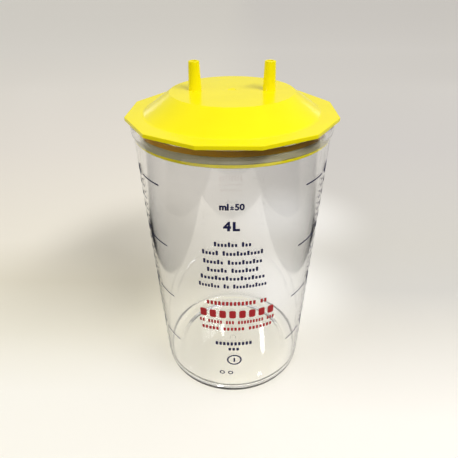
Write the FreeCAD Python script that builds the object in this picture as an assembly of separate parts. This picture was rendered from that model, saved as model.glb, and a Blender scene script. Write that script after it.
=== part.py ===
"""Reusable suction canister: a clear tapered jar closed by a yellow plug lid.

Millimetres, +Z up. The origin is the centre of the jar's foot, on the surface
that it stands on. The front of the canister faces -Y, and one flat side of the
lid's twelve-sided flange faces the front.

The three pieces come apart in the hand:
  jar   clear moulding with a drafted wall, a recessed foot and a flared lip
  lid   one moulding: low dome, two tube ports, flange, plug skirt, seal groove
  seal  soft ring that sits in the groove and wipes the jar's bore
"""

import FreeCAD, Part
import math
import os

# Jar
JAR_HEIGHT = 267.6
JAR_FOOT_RADIUS = 73.4
JAR_RIM_RADIUS = 83.1
JAR_WALL = 3.0
JAR_FLOOR = 3.0
JAR_FOOT_FILLET = 7.0
JAR_FLOOR_FILLET = 8.0

# Recess under the jar, whose gentle slope leaves a ring to stand on
RECESS_RADIUS = 54.6
RECESS_DEPTH = 2.0
RECESS_SLOPE = 6.4
RECESS_FILLET = 5.0

# Lip round the mouth
LIP_HEIGHT = 13.5
LIP_FLARE_HEIGHT = 5.5
LIP_PROJECTION = 1.5
LIP_FLARE_FILLET = 5.0
LIP_EDGE_CHAMFER = 0.6

# Lid flange
FLANGE_SIDES = 12
FLANGE_OVERHANG = 0.4
FLANGE_THICKNESS = 3.2
FLANGE_WIDTH = 12.0
FLANGE_CORNER_FILLET = 1.2
FLANGE_EDGE_FILLET = 0.5

# Lid dome
DOME_HEIGHT = 15.6
DOME_TOP_RADIUS = 50.8
DOME_WALL = 2.6
DOME_EDGE_FILLET = 0.7
DOME_FOOT_FILLET = 4.0

# Plug under the flange
PLUG_DEPTH = 15.1
PLUG_RING_HEIGHT = 3.4
PLUG_RING_CLEARANCE = 0.5
PLUG_LAND_STEP = 0.5
PLUG_EDGE_CHAMFER = 0.7
GROOVE_DEPTH = 2.8
SKIRT_WALL = 2.8

# Seal
SEAL_HEIGHT = 4.8
SEAL_END_CLEARANCE = 0.2
SEAL_BORE_CLEARANCE = 0.15
SEAL_JAR_CLEARANCE = 0.35
SEAL_EDGE_CHAMFER = 0.8

# Tube ports
PORT_SPACING = 60.1
PORT_LENGTH = 22.3
PORT_FOOT_RADIUS = 5.3
PORT_TIP_RADIUS = 4.4
PORT_BORE_RADIUS = 2.8
PORT_TIP_FILLET = 1.0
PORT_MOUTH_CHAMFER = 0.3

# Gate marks left at the centre of the lid's top and of the jar's underside
GATE_RADIUS = 3.0
GATE_DEPTH = 0.4

# Largest share of a side that one rounded or chamfered corner may take up
CORNER_SHARE = 0.45

# How far a cutting tool reaches past the face that it cuts through
TOOL_OVERRUN = 1.0

FULL_TURN = 360.0


def jar_radius(height):
    """Radius of the jar's outer wall, which widens evenly towards the rim."""
    return JAR_FOOT_RADIUS + (JAR_RIM_RADIUS - JAR_FOOT_RADIUS) * height / JAR_HEIGHT


def bore_radius(height):
    """Radius of the jar's inside."""
    return jar_radius(height) - JAR_WALL


# Heights that several features share
floor_top = RECESS_DEPTH + JAR_FLOOR
flange_top = JAR_HEIGHT + FLANGE_THICKNESS
dome_top = flange_top + DOME_HEIGHT
dome_under = dome_top - DOME_WALL
plug_bottom = JAR_HEIGHT - PLUG_DEPTH
groove_bottom = plug_bottom + PLUG_RING_HEIGHT
groove_top = groove_bottom + SEAL_HEIGHT + SEAL_END_CLEARANCE
port_tip = dome_top + PORT_LENGTH

# Radii that several features share
lip_radius = JAR_RIM_RADIUS + LIP_PROJECTION
flange_inradius = lip_radius + FLANGE_OVERHANG
dome_foot_radius = flange_inradius - FLANGE_WIDTH
ring_radius = bore_radius(plug_bottom) - PLUG_RING_CLEARANCE
land_radius = ring_radius - PLUG_LAND_STEP
groove_radius = land_radius - GROOVE_DEPTH
skirt_radius = groove_radius - SKIRT_WALL


def fillet(radius):
    """Corner rounded by a tangent arc."""
    return "fillet", radius


def chamfer(leg):
    """Corner cut off flat, by the same length on both sides."""
    return "chamfer", leg


SHARP = chamfer(0)


def corner_ends(before, after, finish):
    """How far a corner's finish reaches along its sides, and how deep an arc lies in it.

    The reach is limited by the shorter of the two sides.
    """
    kind, size = finish
    half_angle = before.getAngle(after) / 2
    reach = size / math.tan(half_angle) if kind == "fillet" else size
    reach = min(reach, CORNER_SHARE * min(before.Length, after.Length))
    depth = reach / math.cos(half_angle) - reach * math.tan(half_angle)
    return reach, depth


def finished_wire(corners):
    """Closed wire of straight runs, from points that each carry a corner finish."""
    count = len(corners)
    ends = []
    for index, (point, finish) in enumerate(corners):
        before = corners[index - 1][0] - point
        after = corners[(index + 1) % count][0] - point
        reach, depth = corner_ends(before, after, finish)
        before.normalize()
        after.normalize()
        inward = before + after
        if reach > 0:
            inward.normalize()
        ends.append((point + before * reach, point + inward * depth, point + after * reach))
    edges = []
    for index, (start, middle, end) in enumerate(ends):
        if start.distanceToPoint(end) > 0:
            rounded = corners[index][1][0] == "fillet"
            edge = Part.Arc(start, middle, end) if rounded else Part.LineSegment(start, end)
            edges.append(edge.toShape())
        edges.append(Part.LineSegment(end, ends[(index + 1) % count][0]).toShape())
    return Part.Wire(edges)


def turned(profile, centre_x=0.0):
    """Solid of revolution about an upright axis from (radius, height, finish) corners."""
    corners = [(FreeCAD.Vector(centre_x + r, 0, z), finish) for r, z, finish in profile]
    face = Part.Face(finished_wire(corners))
    return face.revolve(FreeCAD.Vector(centre_x, 0, 0), FreeCAD.Vector(0, 0, 1), FULL_TURN)


def jar():
    """Drafted wall, flat foot ring, coved floor and flared lip in one moulding."""
    lip_foot = JAR_HEIGHT - LIP_HEIGHT
    lip_full = lip_foot + LIP_FLARE_HEIGHT
    return turned([
        (0, RECESS_DEPTH + GATE_DEPTH, SHARP),
        (GATE_RADIUS, RECESS_DEPTH + GATE_DEPTH, SHARP),
        (GATE_RADIUS + GATE_DEPTH, RECESS_DEPTH, SHARP),
        (RECESS_RADIUS, RECESS_DEPTH, fillet(RECESS_FILLET)),
        (RECESS_RADIUS + RECESS_SLOPE, 0, fillet(RECESS_FILLET)),
        (JAR_FOOT_RADIUS, 0, fillet(JAR_FOOT_FILLET)),
        (jar_radius(lip_foot), lip_foot, fillet(LIP_FLARE_FILLET)),
        (lip_radius, lip_full, fillet(LIP_FLARE_FILLET)),
        (lip_radius, JAR_HEIGHT, chamfer(LIP_EDGE_CHAMFER)),
        (bore_radius(JAR_HEIGHT), JAR_HEIGHT, chamfer(LIP_EDGE_CHAMFER)),
        (bore_radius(floor_top), floor_top, fillet(JAR_FLOOR_FILLET)),
        (0, floor_top, SHARP),
    ])


def lid_shell():
    """Dome, plug skirt and seal groove, turned as one hollow section."""
    slope = math.atan2(DOME_HEIGHT, dome_foot_radius - DOME_TOP_RADIUS)
    inner_top_radius = DOME_TOP_RADIUS - DOME_WALL * math.tan(slope / 2)
    inner_foot = dome_under - (skirt_radius - inner_top_radius) * math.tan(slope)
    return turned([
        (0, dome_under, SHARP),
        (inner_top_radius, dome_under, SHARP),
        (skirt_radius, inner_foot, chamfer(DOME_WALL)),
        (skirt_radius, plug_bottom, chamfer(PLUG_EDGE_CHAMFER)),
        (ring_radius, plug_bottom, chamfer(PLUG_EDGE_CHAMFER)),
        (ring_radius, groove_bottom, SHARP),
        (groove_radius, groove_bottom, SHARP),
        (groove_radius, groove_top, SHARP),
        (land_radius, groove_top, SHARP),
        (land_radius, flange_top, SHARP),
        (dome_foot_radius, flange_top, fillet(DOME_FOOT_FILLET)),
        (DOME_TOP_RADIUS, dome_top, fillet(DOME_EDGE_FILLET)),
        (GATE_RADIUS + GATE_DEPTH, dome_top, SHARP),
        (GATE_RADIUS, dome_top - GATE_DEPTH, SHARP),
        (0, dome_top - GATE_DEPTH, SHARP),
    ])


def flange():
    """Twelve-sided grip ring with softened corners and edges."""
    corner_radius = flange_inradius / math.cos(math.pi / FLANGE_SIDES)
    corners = []
    for index in range(FLANGE_SIDES):
        angle = 2 * math.pi * (index + 0.5) / FLANGE_SIDES - math.pi / 2
        spot = FreeCAD.Vector(math.cos(angle), math.sin(angle), 0) * corner_radius
        corners.append((spot + FreeCAD.Vector(0, 0, JAR_HEIGHT), fillet(FLANGE_CORNER_FILLET)))
    plate = Part.Face(finished_wire(corners)).extrude(FreeCAD.Vector(0, 0, FLANGE_THICKNESS))
    rims = [edge for edge in plate.Edges if edge.BoundBox.ZLength < FLANGE_EDGE_FILLET]
    plate = plate.makeFillet(FLANGE_EDGE_FILLET, rims)
    opening = Part.makeCylinder(groove_radius, FLANGE_THICKNESS, FreeCAD.Vector(0, 0, JAR_HEIGHT))
    return plate.cut(opening)


def port(centre_x):
    """Tapered tube port, rooted halfway down the dome's top plate."""
    root = dome_top - DOME_WALL / 2
    taper = (PORT_FOOT_RADIUS - PORT_TIP_RADIUS) / PORT_LENGTH
    root_radius = PORT_FOOT_RADIUS + taper * DOME_WALL / 2
    return turned([
        (PORT_BORE_RADIUS, root, SHARP),
        (root_radius, root, SHARP),
        (PORT_TIP_RADIUS, port_tip, fillet(PORT_TIP_FILLET)),
        (PORT_BORE_RADIUS, port_tip, chamfer(PORT_MOUTH_CHAMFER)),
    ], centre_x)


def port_bore(centre_x):
    """Straight passage through the top plate under a port."""
    foot = FreeCAD.Vector(centre_x, 0, dome_under - TOOL_OVERRUN)
    return Part.makeCylinder(PORT_BORE_RADIUS, DOME_WALL + 2 * TOOL_OVERRUN, foot)


def lid():
    """The whole lid moulding."""
    body = lid_shell().fuse(flange())
    for side in (-1, 1):
        centre_x = side * PORT_SPACING / 2
        body = body.fuse(port(centre_x)).cut(port_bore(centre_x))
    return body.removeSplitter()


def seal():
    """Soft ring resting on the plug's end ring, just clear of the jar's bore."""
    inner = groove_radius + SEAL_BORE_CLEARANCE
    outer = bore_radius(groove_bottom) - SEAL_JAR_CLEARANCE
    top = groove_bottom + SEAL_HEIGHT
    return turned([
        (inner, groove_bottom, SHARP),
        (outer, groove_bottom, chamfer(SEAL_EDGE_CHAMFER)),
        (outer, top, chamfer(SEAL_EDGE_CHAMFER)),
        (inner, top, SHARP),
    ])


def single_solid(shape):
    """The one solid that a finished piece must be."""
    solids = shape.Solids
    if len(solids) != 1 or not solids[0].isValid():
        raise ValueError("a piece did not build as one valid solid")
    return solids[0]


def main():
    os.makedirs("parts", exist_ok=True)
    for name, build in (("jar", jar), ("lid", lid), ("seal", seal)):
        piece = single_solid(build())
        piece.exportStep(f"parts/{name}.step")
        print(f"{name}: {piece.Volume / 1000:.1f} cm3, {len(piece.Faces)} faces")


main()
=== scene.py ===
"""Looks of the suction canister: plastics, print, floor, lamps and camera.

Metres, +Z up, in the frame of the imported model. The front faces -Y, and an
azimuth is measured from there towards +X.
"""

import math

import bmesh
import bpy
from mathutils import Matrix, Vector


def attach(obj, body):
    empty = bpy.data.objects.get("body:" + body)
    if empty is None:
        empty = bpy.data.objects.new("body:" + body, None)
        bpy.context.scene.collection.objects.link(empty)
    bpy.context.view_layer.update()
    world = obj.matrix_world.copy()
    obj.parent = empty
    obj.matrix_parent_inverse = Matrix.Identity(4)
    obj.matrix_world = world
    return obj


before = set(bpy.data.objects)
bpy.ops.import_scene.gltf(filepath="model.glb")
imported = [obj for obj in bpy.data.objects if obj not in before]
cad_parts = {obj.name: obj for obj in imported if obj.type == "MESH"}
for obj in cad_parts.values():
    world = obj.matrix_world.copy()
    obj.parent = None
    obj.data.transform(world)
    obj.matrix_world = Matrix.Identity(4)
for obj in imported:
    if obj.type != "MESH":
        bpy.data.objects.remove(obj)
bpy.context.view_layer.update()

# The jar's outer wall, which the print follows
WALL_FOOT_RADIUS = 0.0734
WALL_RIM_RADIUS = 0.0831
WALL_HEIGHT = 0.2676

# Painted shade: the plug between the seal and the flange is browner than the rest of the lid, as
# yellow plastic in deep shade under the flange
LAND_SHADE_HEIGHT = 0.26425
LAND_SHADE_HALF = 0.0033
LAND_PAINTED_SHADE = (0.55, 0.28, 0.02)

# The part of a noise's values that a material spreads over its own range
NOISE_RANGE = (0.3, 0.7)

# Print: where its middle is, how far it goes into and stands proud of the wall, and the
# width of the strips that bend round the wall
PRINT_AZIMUTH = math.radians(1.48)
PRINT_DEPTH = 0.00002
PRINT_HEIGHT = 0.00007
PRINT_STEP = 0.0012
JOIN_DISTANCE = 1e-6
CUT_DISTANCE = 1e-7

# Letters and numbers: share of the font size that a capital takes, and steps in a curve
CAPITAL_SHARE = 0.73
LETTER_STEPS = 5

# Words: text, centre, foot, height of a capital, extra weight
VOLUME_WORDS = [
    ("ml", -0.0062, 0.2203, 0.0053, 0.0004),
    ("±", -0.0003, 0.2206, 0.0036, 0.00025),
    ("50", 0.0053, 0.2203, 0.0053, 0.0003),
    ("4", -0.0040, 0.2021, 0.0078, 0.0006),
    ("L", 0.0026, 0.2021, 0.0078, 0.0006),
]

# Rows of small marks: centre, foot, height, width, marks in each group
TALL_ROWS = [
    (0.0, 0.1866, 0.0030, 0.030, (7, 3)),
    (0.0, 0.1780, 0.0030, 0.050, (5, 12)),
    (0.0, 0.1690, 0.0030, 0.049, (6, 10)),
    (0.0, 0.1606, 0.0030, 0.043, (6, 8)),
    (0.0, 0.1522, 0.0030, 0.055, (18,)),
    (0.0, 0.1434, 0.0030, 0.059, (7, 2, 11)),
]
LOW_ROWS = [
    (0.0008, 0.0722, 0.0044, 0.035, (10,)),
    (0.0008, 0.0650, 0.0038, 0.011, (3,)),
]
BLOCK_ROWS = [
    (0.0037, 0.1234, 0.0046, 0.054, (13, 2)),
    (0.0042, 0.1080, 0.0092, 0.0700, (8,)),
    (0.0042, 0.1006, 0.0040, 0.070, (2, 5, 3, 9, 3)),
    (0.0042, 0.0922, 0.0040, 0.066, (5, 6, 7)),
]
MARK_GAP = 0.16
MARK_CORNER = 0.3
MARK_STEPS = 3
MARK_EXTRA = 0.0015

# Rings: across, up, radius, width. Bar in the large ring: left, right, low, high
RINGS = [
    (0.0014, 0.0515, 0.0072, 0.0016),
    (-0.0105, 0.0322, 0.0026, 0.0011),
    (-0.0023, 0.0322, 0.0026, 0.0011),
]
RING_BAR = (0.0006, 0.0022, 0.0485, 0.0545)

# Graduations: heights of the first and the fourth litre, and the marks' half thickness.
# Ends are in degrees round the wall: near end, far end, middle of the number.
# Numbers: how far the foot is under the mark, height, extra weight.
FIRST_LITRE = 0.0580
FOURTH_LITRE = 0.2296
LITRE_HALF = 0.00065
SMALL_HALF = 0.00040
LITRE_ENDS = (43.75, 62.5, 69.0)
EVEN_ENDS = (62.5, 67.0, 73.5)
ODD_ENDS = (62.5, 65.5, 73.5)
LITRE_NUMBER = (0.0026, 0.0090, 0.0012)
EVEN_NUMBER = (0.0018, 0.0036, 0.0002)

# Camera
FRAME_PIXELS = 458
FOCAL_PIXELS = 411.66
SENSOR_WIDTH = 36.0
CLIP_RANGE = (0.01, 60.0)
CAMERA_AZIMUTH = math.radians(1.48)
CAMERA_DISTANCE = 0.34294
CAMERA_HEIGHT = 0.36889
CAMERA_PITCH = math.radians(32.22)
CAMERA_YAW = math.radians(-0.57)
CAMERA_ROLL = math.radians(-0.49)

# Floor
FLOOR_RADIUS = 14.0
FLOOR_SIDES = 96
FLOOR_HEIGHT = -0.0002
FLOOR_ROUGHNESS = 0.7
FLOOR_SPECULAR = 0.1

# Tones of the floor's paper by distance behind the canister, on its left and right, and
# the half width over which the left ones turn into the right ones. These tones are painted
# light and shade: a painted shadow to the left of the canister, darker paper on the right
# and lighter paper far behind.
PAPER_SPAN = (-0.35, 2.05)
PAPER_TURN = 0.22
PAPER_LEFT_PAINTED_LIGHT = [
    (-0.35, (0.92, 0.89, 0.80)),
    (-0.08, (0.94, 0.91, 0.83)),
    (0.01, (0.84, 0.80, 0.68)),
    (0.10, (0.78, 0.73, 0.60)),
    (0.20, (0.88, 0.83, 0.72)),
    (0.60, (0.90, 0.85, 0.775)),
    (1.20, (0.96, 0.92, 0.85)),
    (2.05, (0.97, 0.94, 0.88)),
]
PAPER_RIGHT_PAINTED_LIGHT = [
    (-0.35, (0.94, 0.91, 0.86)),
    (-0.10, (0.92, 0.885, 0.82)),
    (0.02, (0.74, 0.71, 0.65)),
    (0.09, (0.645, 0.625, 0.585)),
    (0.20, (0.655, 0.63, 0.58)),
    (0.60, (0.71, 0.68, 0.65)),
    (1.20, (0.84, 0.81, 0.77)),
    (2.05, (0.92, 0.89, 0.85)),
]

# Painted light and painted shade on the paper, as soft round patches: x, y, radius, strength
PAINTED_LIGHT_POOLS = [(0.060, 0.10, 0.13, 1.0), (0.100, 0.29, 0.15, 0.88)]
PAINTED_LIGHT_TONE = (0.97, 0.95, 0.91)
PAINTED_SHADE_POOLS = [(-0.185, 0.225, 0.16, 0.23), (-0.13, 0.07, 0.08, 0.14)]
PAINTED_SHADE_TONE = (0.42, 0.40, 0.33)

# Where bounced and glossy rays still meet pale paper: how far in front, half the width
# and its growth towards the front, and the distance behind past which the paper is as
# wide as the floor. Its edges fade over the last two lengths.
SHEET_FRONT = 0.38
SHEET_SIDE = 0.212
SHEET_SPLAY = 0.078
SHEET_BACK = 0.18
SHEET_EDGE = 0.012
SHEET_BACK_EDGE = 0.06
ROOM_DIM = (0.03, 0.03, 0.03)

# Room light: the direction that it grows in, and its tones from low to high
ROOM_LEAN = (-0.2, 0.15, 0.95)
ROOM_SPAN = (-0.3, 1.0)
ROOM_STOPS = [
    (0.0, (0.20, 0.195, 0.19)),
    (0.2, (0.34, 0.33, 0.315)),
    (0.4, (0.50, 0.485, 0.465)),
    (0.65, (0.64, 0.63, 0.61)),
    (1.0, (0.72, 0.715, 0.70)),
]

# Lamps: azimuth and elevation in degrees, longer side along a direction, size along it
# and across, and the kinds of rays that don't meet the lamp
LAMP_AIM = Vector((0, 0, 0.15))
LAMPS = [
    {
        "name": "lamp_key",
        "azimuth": 48,
        "elevation": 51,
        "distance": 1.5,
        "along": (0.66, 0.75, 0),
        "size": (0.8, 0.25),
        "watts": 13.5,
        "colour": (0.97, 0.98, 1.0),
    },
    {
        "name": "lamp_strip_right",
        "azimuth": 172.6,
        "elevation": 43.3,
        "distance": 1.6,
        "along": (0, 1, 0),
        "size": (0.16, 0.034),
        "watts": 0.09,
        "shape": "ELLIPSE",
    },
    {
        "name": "lamp_strip_left",
        "azimuth": 184.3,
        "elevation": 42.0,
        "distance": 1.6,
        "along": (0, 1, 0),
        "size": (0.07, 0.022),
        "watts": 0.022,
        "shape": "ELLIPSE",
    },
    {
        "name": "lamp_fill_left",
        "azimuth": -62,
        "elevation": 14,
        "distance": 1.5,
        "along": (0, 1, 0),
        "size": (0.6, 0.25),
        "watts": 3.5,
        "unmet": ("transmission",),
    },
]
WINDOW_AZIMUTHS = (212, 148)
WINDOW = {
    "name": "lamp_window",
    "elevation": 8,
    "distance": 1.6,
    "along": (0, 0, 1),
    "size": (0.5, 0.16),
    "watts": 0.38,
    "unmet": ("diffuse", "transmission"),
}


# Nodes

def node_material(name):
    """New material with its Principled shader and a place for more nodes."""
    material = bpy.data.materials.new(name)
    material.use_nodes = True
    tree = material.node_tree
    return material, tree, tree.nodes["Principled BSDF"]


def own_space(tree):
    """Point in the object's own space."""
    return tree.nodes.new("ShaderNodeTexCoord").outputs["Object"]


def split(tree, point):
    """X, Y and Z of a point."""
    node = tree.nodes.new("ShaderNodeSeparateXYZ")
    tree.links.new(point, node.inputs["Vector"])
    return node.outputs


def noise(tree, scale, detail=2.0):
    """Noise over the object's own space, in cycles a metre."""
    texture = tree.nodes.new("ShaderNodeTexNoise")
    texture.inputs["Scale"].default_value = scale
    texture.inputs["Detail"].default_value = detail
    tree.links.new(own_space(tree), texture.inputs["Vector"])
    return texture.outputs["Fac"]


def ramp(tree, source, stops):
    """Colour ramp through (position, colour) stops."""
    node = tree.nodes.new("ShaderNodeValToRGB")
    elements = node.color_ramp.elements
    elements[0].position, elements[0].color = stops[0][0], (*stops[0][1], 1)
    elements[1].position, elements[1].color = stops[-1][0], (*stops[-1][1], 1)
    for position, colour in stops[1:-1]:
        elements.new(position).color = (*colour, 1)
    tree.links.new(source, node.inputs["Fac"])
    return node.outputs["Color"]


def mapped(tree, source, span, result=(0.0, 1.0), smooth=False):
    """Takes a value from one span to another, evenly or with soft ends."""
    node = tree.nodes.new("ShaderNodeMapRange")
    if smooth:
        node.interpolation_type = "SMOOTHSTEP"
    node.inputs["From Min"].default_value = span[0]
    node.inputs["From Max"].default_value = span[1]
    node.inputs["To Min"].default_value = result[0]
    node.inputs["To Max"].default_value = result[1]
    tree.links.new(source, node.inputs["Value"])
    return node.outputs["Result"]


def bump(tree, shader, source, distance):
    """Raises the surface by a height source."""
    node = tree.nodes.new("ShaderNodeBump")
    node.inputs["Distance"].default_value = distance
    tree.links.new(source, node.inputs["Height"])
    tree.links.new(node.outputs["Normal"], shader.inputs["Normal"])


def combine(tree, operation, *terms, clamp=False):
    """Math node on sockets and plain numbers."""
    node = tree.nodes.new("ShaderNodeMath")
    node.operation = operation
    node.use_clamp = clamp
    for slot, term in zip(node.inputs, terms):
        if isinstance(term, float):
            slot.default_value = term
        else:
            tree.links.new(term, slot)
    return node.outputs["Value"]


def blend(tree, factor, first, second):
    """Mixes two colours. The second one is a socket or plain numbers."""
    node = tree.nodes.new("ShaderNodeMixRGB")
    tree.links.new(factor, node.inputs["Fac"])
    tree.links.new(first, node.inputs["Color1"])
    if isinstance(second, tuple):
        node.inputs["Color2"].default_value = (*second, 1)
    else:
        tree.links.new(second, node.inputs["Color2"])
    return node.outputs["Color"]


# Materials

def grained(name, tones, tone_noise, rough, rough_noise, grain, grain_noise):
    """Material whose tone, roughness and surface each vary a little over a noise."""
    material, tree, shader = node_material(name)
    colour = ramp(tree, noise(tree, *tone_noise), list(zip(NOISE_RANGE, tones)))
    tree.links.new(colour, shader.inputs["Base Color"])
    roughness = mapped(tree, noise(tree, *rough_noise), NOISE_RANGE, rough)
    tree.links.new(roughness, shader.inputs["Roughness"])
    bump(tree, shader, noise(tree, *grain_noise), grain)
    return material, tree, shader, colour


def yellow_plastic():
    """Moulded yellow, with painted shade in brown on the plug just under the flange."""
    material, tree, shader, colour = grained(
        "yellow_plastic_moulded_painted_shade",
        tones=((0.90, 0.78, 0.003), (0.95, 0.825, 0.004)),
        tone_noise=(28.0, 3.0),
        rough=(0.17, 0.24),
        rough_noise=(160.0, 4.0),
        grain=0.00001,
        grain_noise=(420.0,),
    )
    height = split(tree, own_space(tree))["Z"]
    # Painted shade: the plug's band just under the flange is turned brown
    land_shade_band = combine(tree, "COMPARE", height, LAND_SHADE_HEIGHT, LAND_SHADE_HALF)
    tree.links.new(blend(tree, land_shade_band, colour, LAND_PAINTED_SHADE), shader.inputs["Base Color"])
    shader.inputs["IOR"].default_value = 1.5
    shader.inputs["Specular IOR Level"].default_value = 0.15
    return material


def clear_plastic():
    """Clear moulded plastic."""
    material, tree, shader, _ = grained(
        "clear_plastic_moulded",
        tones=((0.93, 0.93, 0.935), (0.955, 0.955, 0.96)),
        tone_noise=(12.0,),
        rough=(0.004, 0.02),
        rough_noise=(90.0, 3.0),
        grain=0.00003,
        grain_noise=(45.0, 1.0),
    )
    shader.inputs["IOR"].default_value = 1.58
    shader.inputs["Transmission Weight"].default_value = 1.0
    lamps_pass(tree, shader)
    return material


def lamps_pass(tree, shader):
    """Glass that lets the lamps through, so that its shadow stays light."""
    path = tree.nodes.new("ShaderNodeLightPath")
    clear = tree.nodes.new("ShaderNodeBsdfTransparent")
    clear.inputs["Color"].default_value = (0.84, 0.835, 0.80, 1)
    mix = tree.nodes.new("ShaderNodeMixShader")
    tree.links.new(path.outputs["Is Shadow Ray"], mix.inputs["Fac"])
    tree.links.new(shader.outputs["BSDF"], mix.inputs[1])
    tree.links.new(clear.outputs["BSDF"], mix.inputs[2])
    tree.links.new(mix.outputs["Shader"], tree.nodes["Material Output"].inputs["Surface"])


def silicone():
    """Milky grey-green silicone."""
    return grained(
        "silicone_milky",
        tones=((0.40, 0.36, 0.21), (0.48, 0.435, 0.27)),
        tone_noise=(60.0, 3.0),
        rough=(0.38, 0.5),
        rough_noise=(300.0,),
        grain=0.00002,
        grain_noise=(900.0,),
    )[0]


def ink(name, tones):
    """Matt printing ink."""
    material, _, shader, _ = grained(
        name,
        tones=tones,
        tone_noise=(700.0, 3.0),
        rough=(0.35, 0.5),
        rough_noise=(900.0,),
        grain=0.000008,
        grain_noise=(2500.0,),
    )
    shader.inputs["Specular IOR Level"].default_value = 0.15
    return material


# Print on the jar

def wall_radius(height):
    """Radius of the jar's outer wall."""
    return WALL_FOOT_RADIUS + (WALL_RIM_RADIUS - WALL_FOOT_RADIUS) * height / WALL_HEIGHT


def on_wall(flat):
    """Point of the wall for a flat print's (across, up, out) point."""
    radius = wall_radius(flat.y)
    angle = PRINT_AZIMUTH + flat.x / radius
    radius += flat.z
    return Vector((radius * math.sin(angle), -radius * math.cos(angle), flat.y))


def bar(mesh, left, right, low, high, corner_share=0.5, steps=6):
    """Flat bar with rounded corners."""
    radius = min(high - low, right - left) * corner_share
    corners = [
        (right - radius, high - radius, 0),
        (left + radius, high - radius, 1),
        (left + radius, low + radius, 2),
        (right - radius, low + radius, 3),
    ]
    points = []
    for x, y, quarter in corners:
        for step in range(steps + 1):
            angle = (quarter + step / steps) * math.pi / 2
            points.append((x + radius * math.cos(angle), y + radius * math.sin(angle), 0))
    mesh.faces.new([mesh.verts.new(point) for point in points])


def ring(mesh, x, y, radius, width, steps=40):
    """Flat ring."""
    loops = []
    for r in (radius, radius - width):
        turn = [2 * math.pi * step / steps for step in range(steps)]
        loops.append([mesh.verts.new((x + r * math.cos(a), y + r * math.sin(a), 0)) for a in turn])
    outer, inner = loops
    for index in range(steps):
        after = (index + 1) % steps
        mesh.faces.new((outer[index], outer[after], inner[after], inner[index]))


def write(mesh, words, centre, foot, height, weight):
    """Flat letters or numbers, centred, with capitals of that height."""
    curve = bpy.data.curves.new("words", "FONT")
    curve.body = words
    curve.size = height / CAPITAL_SHARE
    curve.offset = weight
    curve.align_x = "CENTER"
    curve.resolution_u = LETTER_STEPS
    holder = bpy.data.objects.new("words", curve)
    flat = bpy.data.meshes.new_from_object(holder)
    flat.transform(Matrix.Translation((centre, foot, 0)))
    mesh.from_mesh(flat)
    bpy.data.objects.remove(holder)
    bpy.data.curves.remove(curve)
    bpy.data.meshes.remove(flat)


def marks_row(mesh, centre, foot, height, width, groups, extra=0.0):
    """Row of small plain marks in groups, some of them taller by the extra height."""
    pitch = width / (sum(groups) + len(groups) - 1)
    x = centre - width / 2
    for count in groups:
        for place in range(count):
            top = foot + (height + (extra if place * 3 % 7 in (0, 5) else 0))
            left = x + pitch * MARK_GAP
            right = x + pitch * (1 - MARK_GAP)
            bar(mesh, left, right, foot, top, MARK_CORNER, MARK_STEPS)
            x += pitch
        x += pitch


def draw_volume(mesh):
    """Volume and its tolerance, at the top of the front."""
    for words in VOLUME_WORDS:
        write(mesh, *words)


def draw_front_lines(mesh):
    """Dark rows and rings of the front."""
    for row in TALL_ROWS:
        marks_row(mesh, *row, MARK_EXTRA)
    for row in LOW_ROWS:
        marks_row(mesh, *row)
    ring(mesh, *RINGS[0])
    bar(mesh, *RING_BAR)
    for small in RINGS[1:]:
        ring(mesh, *small)


def draw_front_block(mesh):
    """Red rows of the front."""
    for row in BLOCK_ROWS:
        marks_row(mesh, *row)


def draw_scale(side):
    """Graduations of one side: +1 on the right of the print, -1 on the left."""
    def draw(mesh):
        litre = (FOURTH_LITRE - FIRST_LITRE) / 3
        for hundreds in range(2, 41):
            height = FIRST_LITRE - litre + litre * hundreds / 10
            graduation(mesh, side, hundreds, height)
    return draw


def graduation(mesh, side, hundreds, height):
    """Mark of so many hundred millilitres, with its number if it has one."""
    near, far, place = [side * end for end in mark_ends(hundreds, wall_radius(height))]
    half = LITRE_HALF if hundreds % 10 == 0 else SMALL_HALF
    bar(mesh, min(near, far), max(near, far), height - half, height + half)
    if hundreds % 10 == 0:
        drop, size, weight = LITRE_NUMBER
        write(mesh, str(hundreds // 10), place, height - drop, size, weight)
    elif hundreds % 2 == 0:
        drop, size, weight = EVEN_NUMBER
        write(mesh, str(hundreds * 100), place, height - drop, size, weight)


def mark_ends(hundreds, radius):
    """Arc lengths to a mark's two ends and to the middle of its number."""
    ends = ODD_ENDS
    if hundreds % 10 == 0:
        ends = LITRE_ENDS
    elif hundreds % 2 == 0:
        ends = EVEN_ENDS
    return [math.radians(angle) * radius for angle in ends]


def cut_in_steps(mesh):
    """Cuts a flat print along its width so that it can bend round the wall."""
    low = min(vertex.co.x for vertex in mesh.verts)
    high = max(vertex.co.x for vertex in mesh.verts)
    x = low + PRINT_STEP
    while x < high:
        parts = mesh.verts[:] + mesh.edges[:] + mesh.faces[:]
        bmesh.ops.bisect_plane(
            mesh, geom=parts, dist=CUT_DISTANCE, plane_co=(x, 0, 0), plane_no=(1, 0, 0))
        x += PRINT_STEP


def thicken(mesh):
    """Gives a flat print its two sides, just under and just over the wall."""
    for vertex in mesh.verts:
        vertex.co.z = -PRINT_DEPTH
    lifted = bmesh.ops.extrude_face_region(mesh, geom=mesh.faces[:], use_keep_orig=True)
    for part in lifted["geom"]:
        if isinstance(part, bmesh.types.BMVert):
            part.co.z = PRINT_HEIGHT
    bmesh.ops.recalc_face_normals(mesh, faces=mesh.faces[:])


def print_piece(name, draw, material):
    """Print on the jar's wall: draw fills a flat mesh, which is then bent round."""
    flat = bmesh.new()
    draw(flat)
    bmesh.ops.remove_doubles(flat, verts=flat.verts[:], dist=JOIN_DISTANCE)
    cut_in_steps(flat)
    thicken(flat)
    for vertex in flat.verts:
        vertex.co = on_wall(vertex.co)
    mesh = bpy.data.meshes.new(name)
    flat.to_mesh(mesh)
    flat.free()
    piece = bpy.data.objects.new(name, mesh)
    bpy.context.collection.objects.link(piece)
    mesh.materials.append(material)
    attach(piece, "jar")


# Floor

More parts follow.
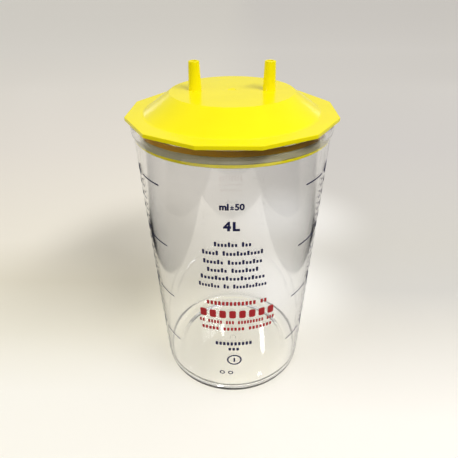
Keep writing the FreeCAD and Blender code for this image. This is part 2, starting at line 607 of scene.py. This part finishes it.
def floor():
    """Round sheet of paper, just under the canister."""
    mesh = bmesh.new()
    bmesh.ops.create_circle(mesh, cap_ends=True, radius=FLOOR_RADIUS, segments=FLOOR_SIDES)
    data = bpy.data.meshes.new("floor")
    mesh.to_mesh(data)
    mesh.free()
    sheet = bpy.data.objects.new("floor", data)
    bpy.context.collection.objects.link(sheet)
    sheet.location.z = FLOOR_HEIGHT
    data.materials.append(floor_paper_painted_light())


def floor_paper_painted_light():
    """Pale paper with painted light and shade. The room round it is dim, for bounced and glossy
    rays only.
    """
    material, tree, shader = node_material("floor_paper_painted_light")
    point = own_space(tree)
    place = split(tree, point)
    paper = paper_painted_light(tree, point, place)
    dim = room_share(tree, place)
    tree.links.new(blend(tree, dim, paper, ROOM_DIM), shader.inputs["Base Color"])
    shader.inputs["Roughness"].default_value = FLOOR_ROUGHNESS
    shader.inputs["Specular IOR Level"].default_value = FLOOR_SPECULAR
    return material


def paper_painted_light(tree, point, place):
    """Tone of the paper, with painted light and painted shade in its ramps and patches."""
    depth = mapped(tree, place["Y"], PAPER_SPAN)
    left = ramp(tree, depth, paper_stops(PAPER_LEFT_PAINTED_LIGHT))
    right = ramp(tree, depth, paper_stops(PAPER_RIGHT_PAINTED_LIGHT))
    turn = mapped(tree, place["X"], (-PAPER_TURN, PAPER_TURN), smooth=True)
    paper = blend(tree, turn, left, right)
    # Painted light: pale pools for light focused through the clear jar
    for shape in PAINTED_LIGHT_POOLS:
        paper = blend(tree, painted_pool(tree, point, shape), paper, PAINTED_LIGHT_TONE)
    # Painted shadow: pools of the canister's shadow
    for shape in PAINTED_SHADE_POOLS:
        paper = blend(tree, painted_pool(tree, point, shape), paper, PAINTED_SHADE_TONE)
    return paper


def paper_stops(tones):
    """Places (distance behind the canister, colour) tones along the paper's span."""
    start, end = PAPER_SPAN
    return [((away - start) / (end - start), colour) for away, colour in tones]


def painted_pool(tree, point, shape):
    """Soft round patch of painted light or painted shade on the floor: its strength in the middle
    and 0 at its radius.
    """
    x, y, radius, strength = shape
    away = tree.nodes.new("ShaderNodeVectorMath")
    away.operation = "DISTANCE"
    away.inputs[1].default_value = (x, y, 0)
    tree.links.new(point, away.inputs[0])
    share = mapped(tree, away.outputs["Value"], (radius, 0), smooth=True)
    return combine(tree, "MULTIPLY", share, strength)


def room_share(tree, place):
    """1 for bounced and glossy rays beyond the sheet's edges, else 0."""
    edge = -SHEET_FRONT
    front = mapped(tree, place["Y"], (edge, edge - SHEET_EDGE), smooth=True)
    splay = combine(tree, "MULTIPLY", place["Y"], SHEET_SPLAY)
    width = combine(tree, "ADD", combine(tree, "ABSOLUTE", place["X"]), splay)
    sides = mapped(tree, width, (SHEET_SIDE, SHEET_SIDE + SHEET_EDGE), smooth=True)
    ahead = mapped(tree, place["Y"], (SHEET_BACK + SHEET_BACK_EDGE, SHEET_BACK), smooth=True)
    beyond = combine(tree, "MAXIMUM", front, combine(tree, "MULTIPLY", sides, ahead))
    path = tree.nodes.new("ShaderNodeLightPath").outputs
    bounces = combine(tree, "MAXIMUM", path["Diffuse Depth"], path["Glossy Depth"])
    return combine(tree, "MULTIPLY", beyond, bounces, clamp=True)


# Light and camera

def lamp(name, azimuth, elevation, distance, along, size, watts,
         colour=(1, 1, 1), shape="RECTANGLE", unmet=()):
    """Soft lamp aimed at the canister. The camera and the unmet kinds of rays pass it."""
    data = bpy.data.lights.new(name, "AREA")
    data.shape = shape
    data.size, data.size_y = size
    data.energy = watts
    data.color = colour
    holder = bpy.data.objects.new(name, data)
    bpy.context.collection.objects.link(holder)
    around, rise = math.radians(azimuth), math.radians(elevation)
    level = math.cos(rise)
    away = Vector((math.sin(around) * level, -math.cos(around) * level, math.sin(rise)))
    across = away.cross(Vector(along)).normalized()
    axes = Matrix((across.cross(away), across, away)).transposed()
    holder.matrix_world = Matrix.Translation(LAMP_AIM + away * distance) @ axes.to_4x4()
    holder.visible_camera = False
    holder.visible_diffuse = "diffuse" not in unmet
    holder.visible_transmission = "transmission" not in unmet


def room_light():
    """Dim low down, brighter overhead and a little on the left."""
    world = bpy.data.worlds.new("room")
    bpy.context.scene.world = world
    world.use_nodes = True
    tree = world.node_tree
    place = tree.nodes.new("ShaderNodeTexCoord")
    lean = tree.nodes.new("ShaderNodeVectorMath")
    lean.operation = "DOT_PRODUCT"
    lean.inputs[1].default_value = ROOM_LEAN
    tree.links.new(place.outputs["Generated"], lean.inputs[0])
    colour = ramp(tree, mapped(tree, lean.outputs["Value"], ROOM_SPAN), ROOM_STOPS)
    tree.links.new(colour, tree.nodes["Background"].inputs["Color"])
    tree.nodes["Background"].inputs["Strength"].default_value = 1.0


def camera_axes():
    """Right, up and back of the camera, before its turn about Z."""
    level = math.cos(CAMERA_PITCH)
    ahead = Vector((
        math.sin(CAMERA_YAW) * level,
        math.cos(CAMERA_YAW) * level,
        -math.sin(CAMERA_PITCH),
    ))
    right = Vector((math.cos(CAMERA_YAW), -math.sin(CAMERA_YAW), 0))
    up = right.cross(ahead)
    tilted_right = right * math.cos(CAMERA_ROLL) + up * math.sin(CAMERA_ROLL)
    tilted_up = up * math.cos(CAMERA_ROLL) - right * math.sin(CAMERA_ROLL)
    return Matrix((tilted_right, tilted_up, -ahead)).transposed()


def camera():
    """Camera at the photograph's place, turned about Z by CAMERA_AZIMUTH."""
    data = bpy.data.cameras.new("camera")
    data.sensor_width = SENSOR_WIDTH
    data.lens = FOCAL_PIXELS * SENSOR_WIDTH / FRAME_PIXELS
    data.clip_start, data.clip_end = CLIP_RANGE
    holder = bpy.data.objects.new("camera", data)
    bpy.context.collection.objects.link(holder)
    turn = Matrix.Rotation(CAMERA_AZIMUTH, 3, "Z")
    place = turn @ Vector((0, -CAMERA_DISTANCE, CAMERA_HEIGHT))
    holder.matrix_world = Matrix.Translation(place) @ (turn @ camera_axes()).to_4x4()
    bpy.context.scene.camera = holder


def finish_cad(node, material):
    """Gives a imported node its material."""
    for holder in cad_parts[node].material_slots:
        holder.material = material


finish_cad("jar", clear_plastic())
finish_cad("lid", yellow_plastic())
finish_cad("seal", silicone())

navy = ink("ink_navy", ((0.006, 0.007, 0.045), (0.011, 0.013, 0.070)))
red = ink("ink_red", ((0.33, 0.006, 0.010), (0.42, 0.010, 0.014)))
print_piece("print_volume", draw_volume, navy)
print_piece("print_front_lines", draw_front_lines, navy)
print_piece("print_front_block", draw_front_block, red)
print_piece("print_scale_right", draw_scale(1), navy)
print_piece("print_scale_left", draw_scale(-1), navy)

floor()
for values in LAMPS:
    lamp(**values)
for azimuth in WINDOW_AZIMUTHS:
    lamp(azimuth=azimuth, **WINDOW)
room_light()
camera()
bpy.context.scene.view_settings.view_transform = "Standard"
